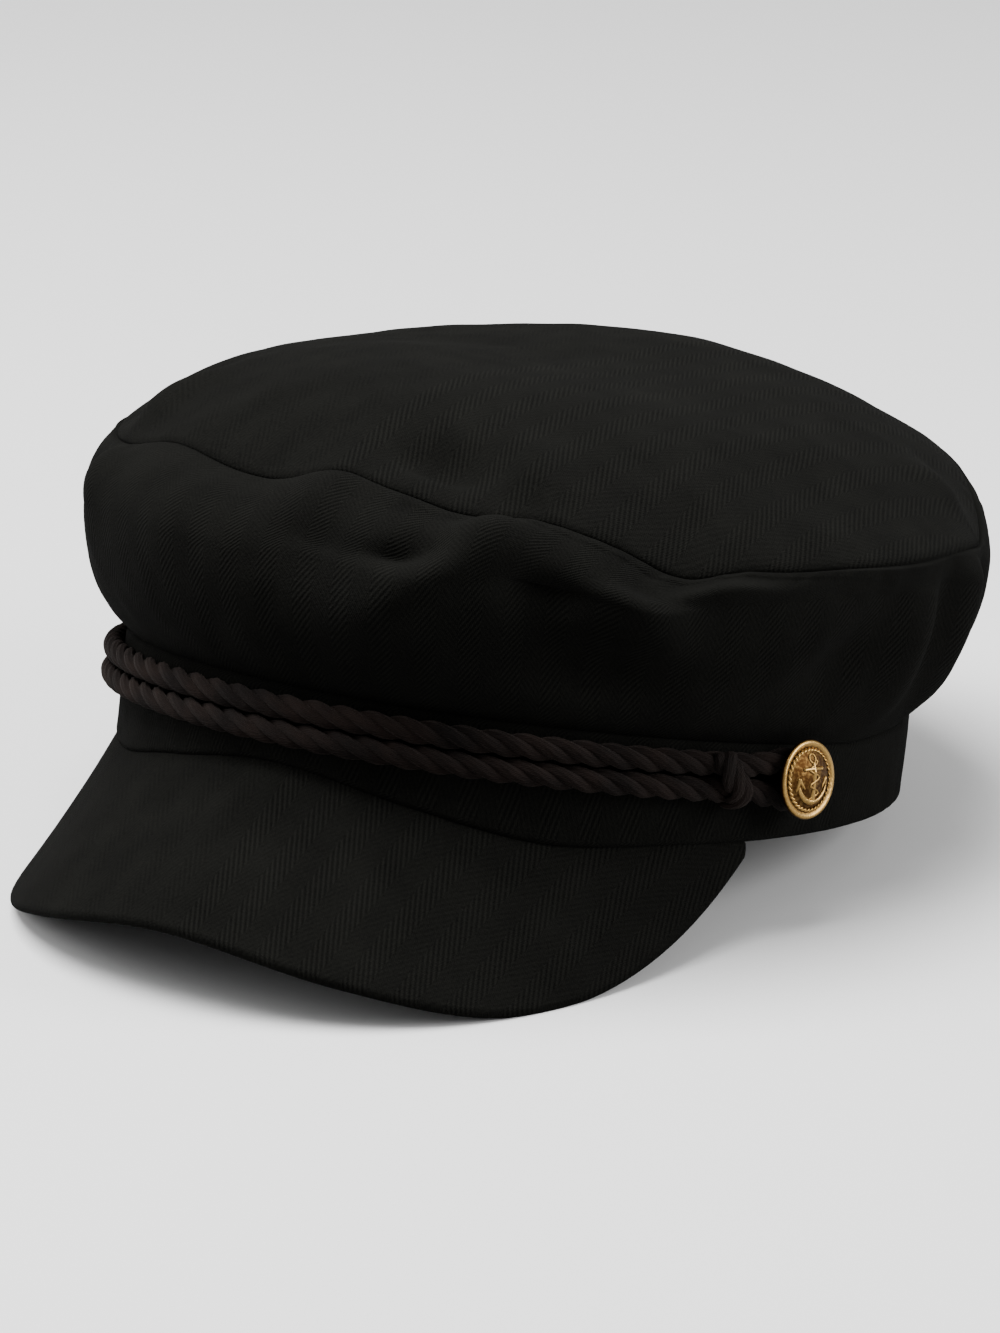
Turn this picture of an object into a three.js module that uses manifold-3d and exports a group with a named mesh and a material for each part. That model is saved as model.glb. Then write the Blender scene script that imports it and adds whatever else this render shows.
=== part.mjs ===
// A soft fisherman cap that rests on a flat surface: a domed top panel, a tall side panel, a headband,
// a cloth-covered visor, and a twisted cord that is held by a brass button at each side.
//
// Sizes are in millimetres and angles in degrees. Angles run round the cap from the centre of the
// front, at -Y, towards the wearer's left, at +X. Heights are measured from the headband's lower edge.

import * as THREE from "three";
import { LoftGeometry } from "three/addons/geometries/LoftGeometry.js";
import { mergeVertices } from "three/addons/utils/BufferGeometryUtils.js";
import Module from "manifold-3d";

// Headband, an oval strip
const bandWidth = 173;
const bandLength = 209;
const bandHeight = 21;
const bandWall = 3;
const bandFrontArch = 11.5;
const bandFrontLift = 8;

// Crown
const crownWall = 2;
const frontOverhang = 16.4;
const rearOverhang = 19.2;
const leftOverhang = 13;
const rightOverhang = 11.8;
const bulgeHeight = 57;
const bulgeFrontRise = 1.1;
const bulgeLeftRise = 1.5;
const bulgeWaveShare = 0.5;
const seamHeight = 70.5;
const seamFrontInset = 3.5;
const seamRearReach = 5.4;
const seamLeftReach = 13.3;
const seamRightReach = 12.4;
const seamFrontDrop = 2.8;
const seamLeftDrop = 0.7;
const seamSaddle = 4.3;
const domeHeight = 25.2;
const domeShift = 12;
const seamWaveHeight = 4;
const foldDepth = 7;
const footRoll = 0.4;
const seamClimb = 0.4;
const domeFullness = 3.9;

// Visor
const visorWall = 3;
const visorLength = 50;
const visorCorner = 2.5;
const visorHalfAngle = 71;
const visorFrontSlope = 38;
const visorSideSlope = 79;
const visorFan = 0.67;
const visorFullness = 2.8;

// Cord
const cordWidth = 5.5;
const cordThickness = 4.6;
const cordLay = 20;
const cordGroove = 0.68;
const cordDrop = 7.2;
const cordSpread = 8;
const knotWidth = 6.4;
const knotThickness = 2.2;
const leftKnotDistance = 19;
const rightKnotDistance = 16;
const knotSlant = 4.5;

// Buttons
const buttonDiameter = 17.8;
const buttonDome = 3;
const buttonRim = 1.6;
const buttonTilt = 7;
const leftButtonAngle = 75.5;
const rightButtonAngle = 84;
const postDiameter = 3;
const reliefHeight = 0.45;
const anchorHeight = 10.5;

// Clearance between neighbouring pieces, and how far the cloth is pressed where it rests
const gap = 0.3;
const restPress = 0.6;

// Steps of the meshes
const roundSteps = 72;
const visorSteps = 40;
const cordStepsPerLay = 7;
const runSteps = 160;
const turnSteps = 8;
const knotSteps = 12;
const knotSides = 10;

// The headband's lower edge: its height as a share of bandFrontArch, by angle from the front
const bandEdgeRows = [
  { angle: 0, rise: 1 },
  { angle: 20, rise: 0.61 },
  { angle: 40, rise: 0.11 },
  { angle: 60, rise: 0.12 },
  { angle: 80, rise: 0.12 },
  { angle: 115, rise: 0.08 },
  { angle: 180, rise: 0 },
];

// Waves of the seam between the top and the side panel, in shares of seamWaveHeight
const seamWaves = [
  { angle: -25, spread: 10, lift: 0.88 },
  { angle: 4, spread: 6, lift: 1.25 },
  { angle: 13, spread: 6, lift: 0.58 },
  { angle: 30, spread: 7, lift: 0.57 },
  { angle: 49, spread: 7, lift: -1.3 },
  { angle: 62, spread: 8, lift: -0.38 },
  { angle: 120, spread: 14, lift: -1.42 },
  { angle: 160, spread: 32, lift: 1.19 },
  { angle: -80, spread: 16, lift: 0.85 },
  { angle: -135, spread: 14, lift: -0.5 },
];

// Folds and hollows of the side panel. height is a share of the way from the headband to the seam,
// lean the angle by which a fold wanders over the whole height, depth a share of foldDepth.
const sideFolds = [
  { angle: 7, height: 0.62, spread: 7, reach: 0.2, lean: 0, depth: -0.75 },
  { angle: 18, height: 0.64, spread: 4, reach: 0.1, lean: 10, depth: -0.65 },
  { angle: 27, height: 0.78, spread: 5, reach: 0.16, lean: 0, depth: 0.75 },
  { angle: 21, height: 0.5, spread: 5, reach: 0.14, lean: 25, depth: 0.6 },
  { angle: 13, height: 0.34, spread: 8, reach: 0.13, lean: 0, depth: 0.3 },
  { angle: 37, height: 0.52, spread: 6, reach: 0.16, lean: 0, depth: -0.95 },
  { angle: 47, height: 0.52, spread: 5, reach: 0.14, lean: -30, depth: 0.7 },
  { angle: 42, height: 0.26, spread: 12, reach: 0.13, lean: 0, depth: -0.95 },
  { angle: 58, height: 0.66, spread: 6, reach: 0.1, lean: 0, depth: 0.4 },
  { angle: 78, height: 0.32, spread: 5, reach: 0.12, lean: 30, depth: -0.5 },
  { angle: 91, height: 0.35, spread: 4, reach: 0.2, lean: 0, depth: 0.45 },
  { angle: 97, height: 0.4, spread: 4, reach: 0.2, lean: 0, depth: -0.4 },
  { angle: 104, height: 0.45, spread: 4.5, reach: 0.3, lean: 0, depth: 0.5 },
  { angle: 113, height: 0.45, spread: 5, reach: 0.3, lean: 0, depth: -0.5 },
  { angle: 150, height: 0.45, spread: 8, reach: 0.25, lean: 20, depth: -0.5 },
  { angle: -172, height: 0.5, spread: 7, reach: 0.22, lean: -20, depth: 0.4 },
  { angle: -140, height: 0.4, spread: 8, reach: 0.22, lean: 10, depth: -0.5 },
  { angle: -105, height: 0.5, spread: 7, reach: 0.25, lean: -20, depth: 0.4 },
  { angle: -80, height: 0.4, spread: 7, reach: 0.22, lean: 10, depth: -0.5 },
  { angle: -48, height: 0.6, spread: 6, reach: 0.25, lean: 0, depth: -0.5 },
  { angle: -37, height: 0.7, spread: 4.5, reach: 0.22, lean: 0, depth: 0.5 },
  { angle: -12, height: 0.7, spread: 9, reach: 0.2, lean: 0, depth: 0.3 },
];

// Dents and ridges of the top panel. reach is a share of the way from its centre to the seam.
const topFolds = [
  { angle: 17, reach: 0.89, spread: 8, width: 0.07, depth: -0.65 },
  { angle: 29, reach: 0.88, spread: 5, width: 0.09, depth: 0.4 },
  { angle: -44, reach: 0.88, spread: 5, width: 0.12, depth: 0.5 },
  { angle: -55, reach: 0.85, spread: 6, width: 0.12, depth: -0.4 },
  { angle: 112, reach: 0.9, spread: 6, width: 0.08, depth: 0.4 },
  { angle: 75, reach: 0.82, spread: 12, width: 0.1, depth: -0.3 },
  { angle: 165, reach: 0.8, spread: 12, width: 0.12, depth: -0.3 },
  { angle: -120, reach: 0.8, spread: 12, width: 0.12, depth: -0.3 },
];

// A knot's wrap over the cord, seen along the cord. out is a share of the cord's reach from the
// headband, up a share of the height from the middle of the two runs to the wrap's top, and back a
// share of half the knot's slant, away from the button.
const knotRows = [
  { out: 0.16, up: -0.92, back: -1 },
  { out: 0.45, up: -1, back: -1 },
  { out: 0.8, up: -0.86, back: -1 },
  { out: 0.98, up: -0.55, back: -0.9 },
  { out: 1, up: -0.2, back: -0.45 },
  { out: 1, up: 0.2, back: 0.45 },
  { out: 0.98, up: 0.55, back: 0.9 },
  { out: 0.8, up: 0.86, back: 1 },
  { out: 0.55, up: 0.97, back: 1 },
];

const rad = THREE.MathUtils.degToRad;
const bandHalfWidth = bandWidth / 2;
const bandHalfLength = bandLength / 2;

// The whole angle between two directions, from -180 to 180
function angleBetween(a, b) {
  return THREE.MathUtils.euclideanModulo(a - b + 180, 360) - 180;
}

function bell(distance, spread) {
  return Math.exp(-((distance / spread) ** 2));
}

// A smooth curve through the rows of a table, level at its ends
function smoothCurve(rows, column) {
  const curve = new THREE.CubicInterpolant(
    rows.map((row) => row.angle),
    rows.map((row) => row[column]),
    1,
    new Float32Array(1),
  );
  curve.settings = {
    endingStart: THREE.ZeroSlopeEnding,
    endingEnd: THREE.ZeroSlopeEnding,
  };
  return (at) => curve.evaluate(at)[0];
}

const bandEdgeRise = smoothCurve(bandEdgeRows, "rise");

function bandEdgeHeight(angle) {
  return bandFrontArch * bandEdgeRise(Math.abs(angleBetween(angle, 0)));
}

function bandTopHeight(angle) {
  return bandHeight + bandFrontLift * Math.max(0, Math.cos(rad(angle)));
}

// A point of an egg-shaped oval that reaches as far as said to each side
function ovalPoint(angle, height, reach) {
  const across = Math.sin(rad(angle));
  const along = -Math.cos(rad(angle));
  return new THREE.Vector3(
    across * (across > 0 ? reach.left : reach.right),
    along * (along > 0 ? reach.rear : reach.front),
    height,
  );
}

function bandPoint(angle, height, offset) {
  const wide = bandHalfWidth + offset;
  const long = bandHalfLength + offset;
  return ovalPoint(angle, height, { left: wide, right: wide, front: long, rear: long });
}

// The direction straight out of the headband's face
function bandNormal(angle) {
  return new THREE.Vector3(
    Math.sin(rad(angle)) / bandHalfWidth,
    -Math.cos(rad(angle)) / bandHalfLength,
    0,
  ).normalize();
}

// Resting pose: the cap tips back on its visor's two low points and the rear of the headband.
function visorFrame(angle) {
  const share = angle / visorHalfAngle;
  const slope = rad(visorFrontSlope + (visorSideSlope - visorFrontSlope) * share ** 2);
  const heading = rad(visorFan * angle);
  const away = new THREE.Vector3(
    Math.cos(slope) * Math.sin(heading),
    -Math.cos(slope) * Math.cos(heading),
    -Math.sin(slope),
  );
  const face = new THREE.Vector3(
    Math.sin(slope) * Math.sin(heading),
    -Math.sin(slope) * Math.cos(heading),
    Math.cos(slope),
  );
  const rootHeight = bandEdgeHeight(angle) - gap - (visorWall / 2) * Math.cos(slope);
  const root = bandPoint(angle, rootHeight, -bandWall / 2);
  const length = visorCorner + (visorLength - visorCorner) * (1 - Math.abs(share) ** visorFullness);
  return { root, away, face, length };
}

function visorSection(angle) {
  const { root, away, face, length } = visorFrame(angle);
  const half = visorWall / 2;
  const inset = Math.min(half, length / 2);
  const upper = [
    [0, half],
    [length / 3, half],
    [(length * 2) / 3, half],
    [length - inset, half],
    [length - inset * (1 - Math.SQRT1_2), half * Math.SQRT1_2],
  ];
  const lower = upper.map(([out, up]) => [out, -up]).reverse();
  return [...upper, [length, 0], ...lower].map(([out, up]) =>
    root.clone().addScaledVector(away, out).addScaledVector(face, up),
  );
}

const visorAngles = Array.from(
  { length: visorSteps + 1 },
  (_, i) => visorHalfAngle * ((2 * i) / visorSteps - 1),
);
const rearFoot = bandPoint(180, bandEdgeHeight(180), 0);
const restTilt = Math.max(
  ...visorAngles
    .flatMap(visorSection)
    .map((point) => Math.atan2(rearFoot.z - point.z, rearFoot.y - point.y)),
);
const restUp = new THREE.Vector3(0, -Math.sin(restTilt), Math.cos(restTilt));
const restLevel = restUp.dot(rearFoot) + restPress;

// Presses a point of cloth up to the surface that the cap rests on
function settle(point) {
  const below = restLevel - restUp.dot(point);
  return below > 0 ? point.addScaledVector(restUp, below) : point;
}

// Two steps in three go to the half from right of the front to the wearer's left, which has the folds.
const foldedFrom = -60;
const foldedSteps = (roundSteps * 2) / 3;
const roundAngles = Array.from({ length: roundSteps }, (_, i) =>
  i < foldedSteps
    ? foldedFrom + (180 * i) / foldedSteps
    : foldedFrom + 180 + (180 * (i - foldedSteps)) / (roundSteps - foldedSteps),
);

function ring(pointAt) {
  return roundAngles.map((angle) => settle(pointAt(angle)));
}

// A bar through a row of sections, closed at each end by a fan onto the middle of its section
function bar(sections) {
  const fan = (section) => {
    const middle = new THREE.Vector3();
    section.forEach((point) => middle.addScaledVector(point, 1 / section.length));
    return section.map(() => middle);
  };
  return new LoftGeometry([fan(sections[0]), ...sections, fan(sections.at(-1))]);
}

// A wall that runs right round: the rings go up its outside and down its inside.
function roundWall(rings) {
  return new LoftGeometry([...rings, rings[0]]);
}

// Headband
function headband() {
  const outer = [0, 0.5, 1].map((share) =>
    ring((angle) => {
      const low = bandEdgeHeight(angle);
      return bandPoint(angle, low + (bandTopHeight(angle) - low) * share, 0);
    }),
  );
  const inner = [1, 0].map((share) =>
    ring((angle) =>
      bandPoint(angle, share ? bandTopHeight(angle) : bandEdgeHeight(angle), -bandWall),
    ),
  );
  return roundWall([...outer, ...inner]);
}

// Crown
const bulgeReach = {
  front: bandHalfLength + frontOverhang,
  rear: bandHalfLength + rearOverhang,
  left: bandHalfWidth + leftOverhang,
  right: bandHalfWidth + rightOverhang,
};
const seamReach = {
  front: bandHalfLength - seamFrontInset,
  rear: bandHalfLength + seamRearReach,
  left: bandHalfWidth + seamLeftReach,
  right: bandHalfWidth + seamRightReach,
};

function seamWave(angle) {
  const waves = seamWaves.map(
    (wave) => wave.lift * bell(angleBetween(angle, wave.angle), wave.spread),
  );
  return seamWaveHeight * waves.reduce((sum, wave) => sum + wave, 0);
}

// The seam between the side and the top panel, with a share of its waves
function seamPoint(angle, waveShare) {
  const height =
    seamHeight -
    seamFrontDrop * Math.cos(rad(angle)) -
    seamLeftDrop * Math.sin(rad(angle)) +
    seamSaddle * Math.cos(rad(2 * angle));
  return ovalPoint(angle, height + waveShare * seamWave(angle), seamReach);
}

// The side panel without its folds: share 0 is its foot on the headband, 1 the seam with the top.
function plainSide(angle, share) {
  const foot = bandPoint(angle, bandTopHeight(angle) + gap, -crownWall / 4);
  const bulge = ovalPoint(
    angle,
    bulgeHeight +
      bulgeFrontRise * Math.cos(rad(angle)) +
      bulgeLeftRise * Math.sin(rad(angle)) +
      bulgeWaveShare * seamWave(angle),
    bulgeReach,
  );
  const seam = seamPoint(angle, 1);
  const turn = Math.PI * share;
  if (share <= 0.5) {
    const out = Math.sin(turn);
    const up = THREE.MathUtils.lerp(2 * share, 1 - Math.cos(turn), footRoll);
    return new THREE.Vector3(
      THREE.MathUtils.lerp(foot.x, bulge.x, out),
      THREE.MathUtils.lerp(foot.y, bulge.y, out),
      THREE.MathUtils.lerp(foot.z, bulge.z, up),
    );
  }
  const inward = 1 - Math.sin(turn);
  const up = THREE.MathUtils.lerp(-Math.cos(turn), 2 * share - 1, seamClimb);
  return new THREE.Vector3(
    THREE.MathUtils.lerp(bulge.x, seam.x, inward),
    THREE.MathUtils.lerp(bulge.y, seam.y, inward),
    THREE.MathUtils.lerp(bulge.z, seam.z, up),
  );
}

// The top panel without its folds: reach 0 is its centre, 1 the seam with the side.
function plainTop(angle, reach) {
  const seam = seamPoint(angle, reach ** 8);
  return new THREE.Vector3(
    seam.x * reach - domeShift * (1 - reach),
    THREE.MathUtils.lerp((seamReach.rear - seamReach.front) / 2, seam.y, reach),
    seamHeight + (seam.z - seamHeight) * reach + domeHeight * (1 - reach ** domeFullness),
  );
}

// The outward direction of a surface given by an angle and a share
function surfaceNormal(surface, angle, share, flip) {
  const angleStep = 0.5;
  const shareStep = 0.01;
  const along = surface(angle + angleStep, share).sub(surface(angle - angleStep, share));
  const lower = Math.max(0, share - shareStep);
  const upper = Math.min(1, share + shareStep);
  const across = surface(angle, upper).sub(surface(angle, lower));
  return along.cross(across).multiplyScalar(flip).normalize();
}

function sideFoldDepth(angle, share) {
  const sum = sideFolds.reduce((total, fold) => {
    const centre = fold.angle + fold.lean * (share - fold.height);
    const shape = bell(angleBetween(angle, centre), fold.spread);
    return total + fold.depth * shape * bell(share - fold.height, fold.reach);
  }, 0);
  const fade = Math.min(1, 6 * share, 8 * (1 - share));
  return foldDepth * sum * fade;
}

function topFoldDepth(angle, reach) {
  const sum = topFolds.reduce(
    (total, fold) =>
      total +
      fold.depth *
        bell(angleBetween(angle, fold.angle), fold.spread) *
        bell(reach - fold.reach, fold.width),
    0,
  );
  return foldDepth * sum * Math.min(1, 12 * (1 - reach));
}

function sidePoint(angle, share, depth) {
  const normal = surfaceNormal(plainSide, angle, share, 1);
  const shift = sideFoldDepth(angle, share) - depth;
  return plainSide(angle, share).addScaledVector(normal, shift);
}

function topPoint(angle, reach, depth) {
  const level = new THREE.Vector3(0, 0, 1);
  const normal = reach > 0 ? surfaceNormal(plainTop, angle, reach, -1) : level;
  const shift = topFoldDepth(angle, reach) - depth;
  return plainTop(angle, reach).addScaledVector(normal, shift);
}

// The rim of a panel beside the seam. Both walls end on the mitre between them, a gap apart.
function rimPoint(surface, angle, depth) {
  const nearSeam = 0.96;
  const gapShare = 0.6;
  const sideNormal = surfaceNormal(plainSide, angle, 1, 1);
  const topNormal = surfaceNormal(plainTop, angle, 1, -1);
  const mitre = sideNormal.clone().add(topNormal);
  mitre.multiplyScalar(1 / (1 + sideNormal.dot(topNormal)));
  const seam = seamPoint(angle, 1);
  const away = surface(angle, nearSeam).sub(seam).normalize();
  return seam.addScaledVector(away, gap * gapShare).addScaledVector(mitre, -depth);
}

function crownSide() {
  const shares = [0, 0.08, 0.16, 0.24, 0.32, 0.4, 0.48, 0.56, 0.64, 0.73, 0.82];
  const outer = shares.map((share) => ring((angle) => sidePoint(angle, share, 0)));
  const inner = shares.map((share) => ring((angle) => sidePoint(angle, share, crownWall)));
  outer.push(ring((angle) => rimPoint(plainSide, angle, 0)));
  inner.push(ring((angle) => rimPoint(plainSide, angle, crownWall)));
  return roundWall([...outer, ...inner.reverse()]);
}

function crownTop() {
  const reaches = [0, 0.2, 0.4, 0.58, 0.73, 0.84, 0.92];
  const outer = reaches.map((reach) => ring((angle) => topPoint(angle, reach, 0)));
  const inner = reaches.map((reach) => ring((angle) => topPoint(angle, reach, crownWall)));
  outer.push(ring((angle) => rimPoint(plainTop, angle, 0)));
  inner.push(ring((angle) => rimPoint(plainTop, angle, crownWall)));
  return new LoftGeometry([...inner, ...outer.reverse()]);
}

// Visor
function visor() {
  return bar(visorAngles.map((angle) => visorSection(angle).map(settle)));
}

// Cord
const cordOffset = cordThickness / 2 + gap;
const runSpacing = (cordWidth + gap) / 2;
const postSpacing = cordWidth / 2 + gap + postDiameter / 2;

function buttonAngle(side) {
  return side > 0 ? leftButtonAngle : -rightButtonAngle;
}

function pairHeight(angle) {
  return bandTopHeight(angle) - cordDrop;
}

// The upper run goes from the right button to the left one and the lower run comes back.
function cordRun(side) {
  const from = buttonAngle(-side);
  const to = buttonAngle(side);
  return Array.from({ length: runSteps }, (_, i) => {
    const angle = THREE.MathUtils.lerp(from, to, i / runSteps);
    const fromPost = Math.min(Math.abs(angle - from), Math.abs(to - angle)) / cordSpread;
    const close = THREE.MathUtils.smoothstep(fromPost, 0, 1);
    const spacing = THREE.MathUtils.lerp(postSpacing, runSpacing, close);
    return {
      at: bandPoint(angle, pairHeight(angle) + side * spacing, cordOffset),
      normal: bandNormal(angle),
    };
  });
}

// The half turn round a button's post, from one run to the other
function cordTurn(side) {
  const angle = buttonAngle(side);
  const normal = bandNormal(angle);
  const forward = new THREE.Vector3(-normal.y, normal.x, 0);
  return Array.from({ length: turnSteps }, (_, i) => {
    const turn = (Math.PI * i) / turnSteps;
    const height = pairHeight(angle) + side * postSpacing * Math.cos(turn);
    const at = bandPoint(angle, height, cordOffset);
    return { at: at.addScaledVector(forward, side * postSpacing * Math.sin(turn)), normal };
  });
}

function cordLoop() {
  const route = [...cordRun(1), ...cordTurn(1), ...cordRun(-1), ...cordTurn(-1)];
  const curve = new THREE.CatmullRomCurve3(
    route.map((point) => point.at),
    true,
  );
  const strands = 3;
  const lays = Math.round((strands * curve.getLength()) / cordLay) / strands;
  const steps = Math.round(lays * cordStepsPerLay);
  const sections = Array.from({ length: steps }, (_, i) => {
    const share = i / steps;
    const at = curve.getPointAt(share);
    const tangent = curve.getTangentAt(share);
    const nearest = Math.floor(curve.getUtoTmapping(share) * route.length);
    const out = route[nearest % route.length].normal.clone();
    out.addScaledVector(tangent, -out.dot(tangent)).normalize();
    const side = new THREE.Vector3().crossVectors(tangent, out);
    const twist = 2 * Math.PI * lays * share;
    return Array.from({ length: 2 * strands }, (_, j) => {
      const crest = j % 2 ? cordGroove : 1;
      const turn = (Math.PI * j) / strands + twist;
      return at
        .clone()
        .addScaledVector(out, ((crest * cordThickness) / 2) * Math.cos(turn))
        .addScaledVector(side, ((crest * cordWidth) / 2) * Math.sin(turn));
    });
  });
  return new LoftGeometry([...sections, sections[0]]);
}

// A knot: one flat turn of the cord laid slantwise over both runs
function knot(side) {
  const arc = (rad(1) * (bandWidth + bandLength)) / 4;
  const distance = side > 0 ? leftKnotDistance : rightKnotDistance;
  const angle = buttonAngle(side) - (side * distance) / arc;
  const normal = bandNormal(angle);
  const along = new THREE.Vector3(-normal.y, normal.x, 0);
  const reachOut = cordThickness + 2 * gap + knotThickness / 2;
  const reachUp = runSpacing + cordWidth / 2 + gap + knotThickness / 2;
  const middle = bandPoint(angle, pairHeight(angle), 0);
  const curve = new THREE.CatmullRomCurve3(
    knotRows.map((row) =>
      middle
        .clone()
        .addScaledVector(normal, row.out * reachOut)
        .addScaledVector(along, (-side * row.back * knotSlant) / 2)
        .add(new THREE.Vector3(0, 0, row.up * reachUp)),
    ),
  );
  const sections = Array.from({ length: knotSteps + 1 }, (_, i) => {
    const at = curve.getPointAt(i / knotSteps);
    const tangent = curve.getTangentAt(i / knotSteps);
    const face = new THREE.Vector3().crossVectors(along, tangent).normalize();
    const across = new THREE.Vector3().crossVectors(tangent, face);
    return Array.from({ length: knotSides }, (_, j) => {
      const turn = (2 * Math.PI * j) / knotSides;
      return at
        .clone()
        .addScaledVector(face, (knotThickness / 2) * Math.cos(turn))
        .addScaledVector(across, (knotWidth / 2) * Math.sin(turn));
    });
  });
  return bar(sections);
}

// Buttons
const wasm = await Module();
wasm.setup();

function solidFrom(geometry) {
  const bare = geometry.clone();
  bare.deleteAttribute("normal");
  bare.deleteAttribute("uv");
  const merged = mergeVertices(bare, 1e-4);
  return new wasm.Manifold(
    new wasm.Mesh({
      numProp: 3,
      vertProperties: merged.attributes.position.array,
      triVerts: new Uint32Array(merged.index.array),
    }),
  );
}

function geometryFrom(solid) {
  const mesh = solid.getMesh();
  const geometry = new THREE.BufferGeometry();
  geometry.setAttribute("position", new THREE.BufferAttribute(mesh.vertProperties, 3));
  geometry.setIndex(new THREE.BufferAttribute(mesh.triVerts, 1));
  geometry.computeVertexNormals();
  return geometry;
}

// A turned shape about +Y, from rows of radius and height that start and end on the axis
function turned(rows) {
  const profile = rows.map(([radius, height]) => new THREE.Vector2(radius, height));
  return new THREE.LatheGeometry(profile, 24);
}

const buttonRadius = buttonDiameter / 2;
const fieldRadius = buttonRadius - buttonRim;
const fieldEdge = 0.98;
const domeArc = Math.PI / 2.6;
const eyeRadius = 1.26;
const eyeWire = 0.5;
const eyeOffset = 3.8;

// The face of the button inside its rim, raised by a height above the plain dome
function domeRows(base, raise) {
  return [fieldEdge, 0.65, 0.33, 0].map((share) => [
    fieldRadius * share,
    base + raise + buttonDome * Math.cos(share * domeArc),
  ]);
}

function anchorOutline() {
  const unit = anchorHeight / 10;
  const half = [
    [0.45, 2.6],
    [2.1, 2.6],
    [2.1, 1.8],
    [0.5, 1.8],
    [0.5, -2.9],
    [2.2, -2.2],
    [2.9, -0.9],
    [2.2, -1.2],
    [3.8, 0.6],
    [4, -2],
    [2.6, -3.7],
    [0, -4.7],
  ];
  const right = half.map(([x, y]) => new THREE.Vector2(x * unit, y * unit));
  const left = half
    .slice(0, -1)
    .reverse()
    .map(([x, y]) => new THREE.Vector2(-x * unit, y * unit));
  return new THREE.Shape([...right, ...left]);
}

function button() {
  const back = cordThickness + 2 * gap + buttonRadius * Math.sin(rad(buttonTilt));
  const edge = back + 1;
  const post = postDiameter / 2;
  const rim = [
    [0, gap],
    [post, gap],
    [post, back],
    [buttonRadius - 0.5, back],
    [buttonRadius, back + 0.5],
    [buttonRadius, edge],
    [buttonRadius - 0.5, edge + 0.5],
    [fieldRadius + 0.4, edge + 0.3],
  ];
  const base = edge - buttonDome * Math.cos(fieldEdge * domeArc);
  const body = solidFrom(turned([...rim, ...domeRows(base, 0)]));
  const inside = back + 0.2;
  const field = turned([
    [0, inside],
    [fieldRadius * fieldEdge, inside],
    ...domeRows(base, reliefHeight),
  ]);
  const prism = new THREE.ExtrudeGeometry(anchorOutline(), {
    depth: back + buttonDome + 4,
    bevelEnabled: false,
  }).rotateX(-Math.PI / 2);
  const eyeHeight = buttonDome * Math.cos((eyeOffset / fieldRadius) * domeArc);
  const eye = new THREE.TorusGeometry(eyeRadius, eyeWire, 5, 10)
    .rotateX(-Math.PI / 2)
    .translate(0, base + eyeHeight + reliefHeight, -eyeOffset);
  const relief = solidFrom(field).intersect(solidFrom(prism));
  return geometryFrom(body.add(relief).add(solidFrom(eye)));
}

// Assembly
const wool = { color: 0x1b1b1a, roughness: 0.95, metalness: 0 };
const cordYarn = { color: 0x2a2220, roughness: 0.85, metalness: 0 };
const brass = { color: 0xb08d4a, roughness: 0.35, metalness: 1 };

function piece(name, geometry, finish) {
  const mesh = new THREE.Mesh(geometry, new THREE.MeshStandardMaterial(finish));
  mesh.name = name;
  return mesh;
}

const cap = new THREE.Group();
cap.add(piece("crown_top", crownTop(), wool));
cap.add(piece("crown_side", crownSide(), wool));
cap.add(piece("headband", headband(), wool));
cap.add(piece("visor", visor(), wool));
cap.add(piece("cord_loop", cordLoop(), cordYarn));

const buttonGeometry = button();
for (const [side, name] of [
  [1, "left"],
  [-1, "right"],
]) {
  cap.add(piece("knot_" + name, knot(side), cordYarn));
  const disc = piece("button_" + name, buttonGeometry, brass);
  const angle = buttonAngle(side);
  const normal = bandNormal(angle);
  const across = new THREE.Vector3(-normal.y, normal.x, 0);
  const face = normal.clone().multiplyScalar(Math.cos(rad(buttonTilt)));
  face.z = Math.sin(rad(buttonTilt));
  disc.position.copy(bandPoint(angle, pairHeight(angle), 0));
  disc.quaternion.setFromRotationMatrix(
    new THREE.Matrix4().makeBasis(across, face, across.clone().cross(face)),
  );
  cap.add(disc);
}

// The cap is tipped into its resting pose, with the origin at the middle of its footprint.
cap.rotation.x = -restTilt;
cap.updateMatrixWorld(true);
const box = new THREE.Box3().setFromObject(cap, true);
const middle = box.getCenter(new THREE.Vector3());
cap.position.set(-middle.x, -middle.y, -box.min.z);

export default cap;
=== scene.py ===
# A soft fisherman cap in black herringbone wool, with a twisted cord and brass buttons.
#
# Lengths are in metres and angles in degrees. Angles run round the cap from the centre of the
# front, at -Y, towards the wearer's left, at +X. The cap is shaped level, with its heights above
# the headband's lower edge, and then tipped back onto its visor.

from math import cos, pi, radians, sin

import bmesh
import bpy
import numpy as np
from mathutils import Matrix, Vector, noise


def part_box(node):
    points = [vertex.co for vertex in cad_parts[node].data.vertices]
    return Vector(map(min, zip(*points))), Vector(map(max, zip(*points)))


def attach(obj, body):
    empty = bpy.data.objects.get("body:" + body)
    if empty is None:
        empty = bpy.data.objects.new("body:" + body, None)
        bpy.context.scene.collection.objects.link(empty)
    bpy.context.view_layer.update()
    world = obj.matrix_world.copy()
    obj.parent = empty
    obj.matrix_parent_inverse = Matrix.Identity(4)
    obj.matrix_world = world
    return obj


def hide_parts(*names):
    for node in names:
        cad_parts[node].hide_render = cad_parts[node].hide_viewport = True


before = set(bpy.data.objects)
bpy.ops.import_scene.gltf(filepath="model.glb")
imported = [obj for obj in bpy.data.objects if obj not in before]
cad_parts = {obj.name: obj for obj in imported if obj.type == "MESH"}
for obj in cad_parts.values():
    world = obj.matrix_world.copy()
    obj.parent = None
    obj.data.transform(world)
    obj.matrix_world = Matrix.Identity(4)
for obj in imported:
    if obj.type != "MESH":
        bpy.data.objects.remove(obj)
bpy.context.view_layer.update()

# Headband
BAND_WIDTH = 0.173
BAND_LENGTH = 0.209
BAND_HEIGHT = 0.021
BAND_WALL = 0.003
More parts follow.
